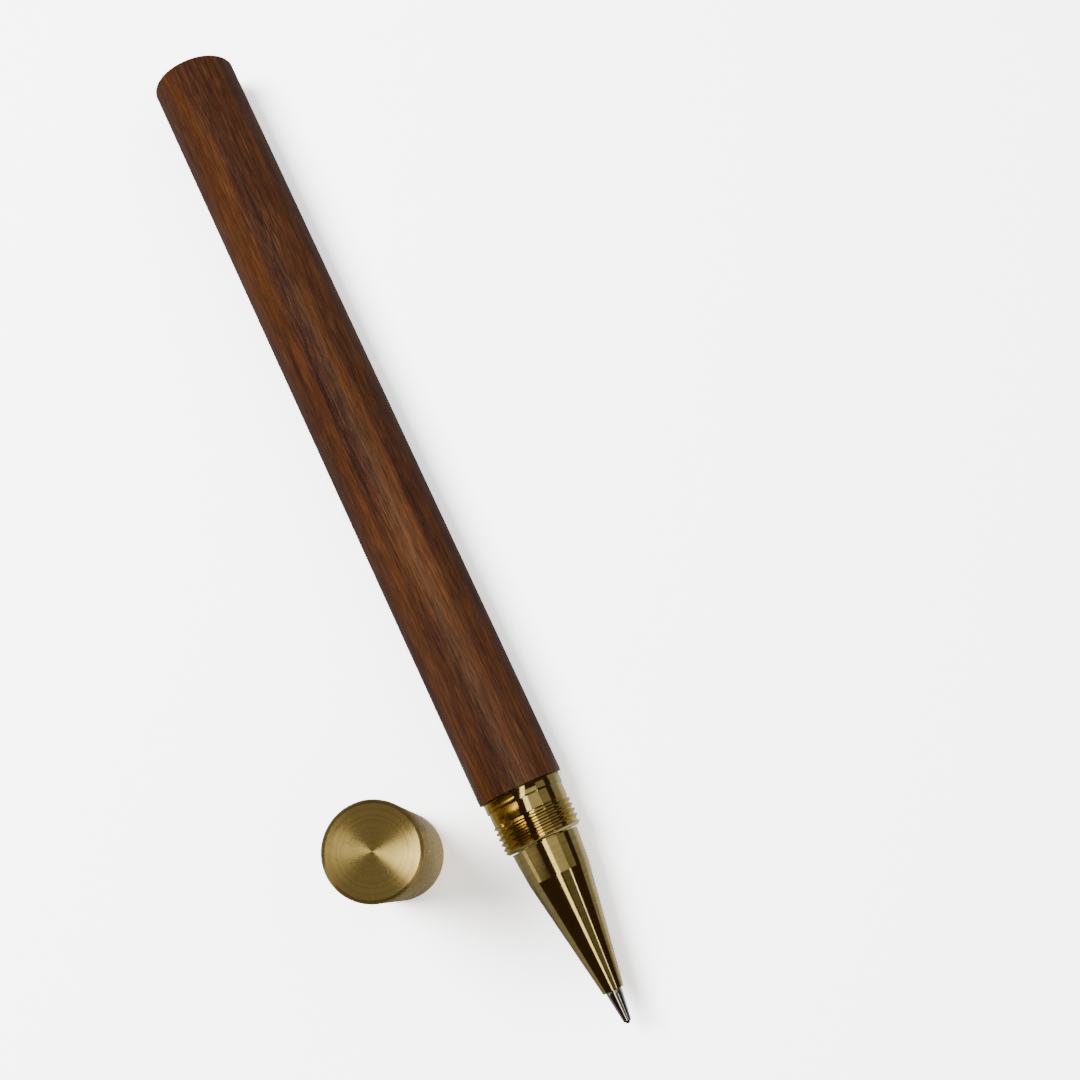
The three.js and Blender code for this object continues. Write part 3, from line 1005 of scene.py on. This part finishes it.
right = put(floor_tree, "ShaderNodeSeparateXYZ", {0: spot}).outputs["X"]
near_pen = between(floor_tree, right, PEN_FOOT.x + 2 * MM, PEN_FOOT.x + 6 * MM, 0.0, GLOW)
off_pen = between(floor_tree, right, PEN_FOOT.x + 10 * MM, PEN_FOOT.x + 22 * MM, 1.0, 0.0)
beside_pen = put(floor_tree, "ShaderNodeMath", {0: near_pen, 1: off_pen}, operation="MULTIPLY").outputs[0]
behind = put(floor_tree, "ShaderNodeSeparateXYZ", {0: spot}).outputs["Y"]
brass_end = PEN_FOOT.y + WOOD_FRONT * MM
beside_brass = between(floor_tree, behind, brass_end - 1 * MM, brass_end + 3 * MM, 1.0, 0.0)
nose_patch = put(floor_tree, "ShaderNodeMath", {0: beside_pen, 1: beside_brass}, operation="MULTIPLY")
beside_cap = tuple(CAP_FOOT + OUTWARD * 9 * MM)
reach = put(floor_tree, "ShaderNodeVectorMath", {0: spot, 1: beside_cap}, operation="DISTANCE")
cap_patch = between(floor_tree, reach.outputs["Value"], 5 * MM, 14 * MM, CAP_GLOW, 0.0)
glow = put(floor_tree, "ShaderNodeMath", {0: nose_patch.outputs[0], 1: cap_patch}, operation="MAXIMUM")
mirrored = put(floor_tree, "ShaderNodeMath", {0: 1.0, 1: ray.outputs["Is Camera Ray"]}, operation="SUBTRACT")
strength = put(floor_tree, "ShaderNodeMath", {0: glow.outputs[0], 1: mirrored.outputs[0]},
               operation="MULTIPLY")
# Far from the pen the lamps fade, so the table turns evenly white by itself, for the camera alone.
away = put(floor_tree, "ShaderNodeVectorMath", {0: spot}, operation="LENGTH").outputs["Value"]
far_white = between(floor_tree, away, FADE_START, FADE_END, 0.0, FAR_WHITE)
seen_white = put(floor_tree, "ShaderNodeMath", {0: far_white, 1: ray.outputs["Is Camera Ray"]},
                 operation="MULTIPLY").outputs[0]
strength = put(floor_tree, "ShaderNodeMath", {0: strength.outputs[0], 1: seen_white}, operation="ADD")
light_patch = put(floor_tree, "ShaderNodeEmission",
                  {"Color": (1, 0.99, 0.98, 1), "Strength": strength.outputs[0]})
both = put(floor_tree, "ShaderNodeAddShader", {0: chalk.outputs[0], 1: light_patch.outputs[0]})
floor_tree.links.new(both.outputs[0], floor_tree.nodes["Material Output"].inputs["Surface"])
floor.data.materials.append(floor_material)
print("floor", floor.name)

# %% [markdown]
# ## Light
# Brass looks like brass when it mirrors something dark with a few clean lights in it. The studio
# is dim, and the lights are flat panels. Each is placed by the angle at which the pen mirrors it:
# how far to the left of straight up, and how far along the pen. The first two aren't mirrored: a
# window lights the wood and draws the shadows, and a wide ceiling softens them. Then come the
# panels that the nose and collar mirror, and last the two that only the cap mirrors.

# %% Lights
FOCUS = PEN_FOOT + ALONG_PEN * 25 * MM
LIGHT_DISTANCE = 0.7


def panel(name, left, along, width, length, radiance, mirrored=True, skew=0.0, color=(1, 1, 1)):
    """A flat light that is seen from the collar under these angles, in degrees."""
    left, along = math.radians(left), math.radians(along)
    toward = Vector((-math.sin(left) * math.cos(along), math.sin(along), math.cos(left) * math.cos(along)))
    bpy.ops.object.select_all(action="DESELECT")
    bpy.ops.object.light_add(type="AREA", location=FOCUS + toward * LIGHT_DISTANCE)
    lamp = bpy.context.object
    lamp.name = name
    lamp.data.shape = "RECTANGLE"
    lamp.data.size = 2 * LIGHT_DISTANCE * math.tan(math.radians(width) / 2)
    lamp.data.size_y = 2 * LIGHT_DISTANCE * math.tan(math.radians(length) / 2)
    lamp.data.energy = radiance * math.pi * lamp.data.size * lamp.data.size_y
    up = (ALONG_PEN - toward * ALONG_PEN.dot(toward)).normalized()
    side = up.cross(toward)
    facing = Matrix((side, up, toward)).transposed() @ Matrix.Rotation(math.radians(skew), 3, "Z")
    lamp.rotation_euler = facing.to_euler()
    lamp.visible_camera = False
    lamp.visible_glossy = mirrored
    lamp.data.color = color
    return lamp


WARM = (1.0, 0.96, 0.80)
YELLOW = (1.0, 0.97, 0.7)
panel("window", left=24, along=22, width=26, length=26, radiance=18.0, mirrored=False)
panel("ceiling", left=-28, along=0, width=110, length=110, radiance=0.65, mirrored=False)
strip = panel("strip", left=0.5, along=-2, width=13, length=64, radiance=2.2, skew=-14, color=YELLOW)
panel("side_panel", left=-22, along=-5, width=40, length=18, radiance=0.42, color=WARM)
panel("side_dim", left=-57, along=2, width=28, length=24, radiance=0.17, color=WARM)
panel("thin_strip", left=-42, along=-26, width=3.5, length=20, radiance=3.0)
panel("low_dim", left=-24, along=-26, width=28, length=20, radiance=0.08, color=WARM)
panel("left_card", left=82, along=0, width=16, length=22, radiance=0.6, color=WARM)
panel("left_dim", left=52, along=2, width=40, length=22, radiance=0.22, color=WARM)
cap_key = panel("cap_key", left=-18.5, along=-13.9, width=25, length=34, radiance=4.2, skew=27, color=WARM)
cap_fill = panel("cap_fill", left=0, along=0, width=100, length=100, radiance=0.14, color=WARM)

# %% [markdown]
# Only the window and the ceiling light the table, so that there is one soft shadow. The overhead
# strip draws the long highlight down the nose. It would also drown the wedges on the cap's spun
# face, so the cap is left out of what the strip lights, and two lamps of its own light it alone.
# The room is a dim brown where the brass mirrors it, and white where the camera sees it.


# %% Light linking and dim room
def leave_out(lamp, objects):
    """Keeps a lamp's light off the given objects."""
    left_out = bpy.data.collections.new(lamp.name + "_leaves_out")
    for obj in objects:
        left_out.objects.link(obj)
    for entry in left_out.collection_objects:
        entry.light_linking.link_state = "EXCLUDE"
    lamp.light_linking.receiver_collection = left_out


not_the_cap = [barrel, collar, nose, tip, ball, floor]
for lamp in [lamp for lamp in bpy.data.objects if lamp.type == "LIGHT" and lamp.visible_glossy]:
    if lamp in (cap_key, cap_fill):
        leave_out(lamp, not_the_cap)
    elif lamp == strip:
        leave_out(lamp, [floor, cap])
    else:
        leave_out(lamp, [floor])
ROOM_BROWN = (1.00, 0.58, 0.36, 1)
ROOM_GLOW = 0.03
world = bpy.data.worlds.new("dim_room")
bpy.context.scene.world = world
world.use_nodes = True
room_tree = world.node_tree
eye = put(room_tree, "ShaderNodeLightPath").outputs["Is Camera Ray"]
room = room_tree.nodes["Background"].inputs
room_color = blend(room_tree, eye, ROOM_BROWN, (1, 1, 1, 1))
room_tree.links.new(room_color, room["Color"])
room_tree.links.new(between(room_tree, eye, 0.0, 1.0, ROOM_GLOW, FAR_WHITE), room["Strength"])
print("world", world.name)
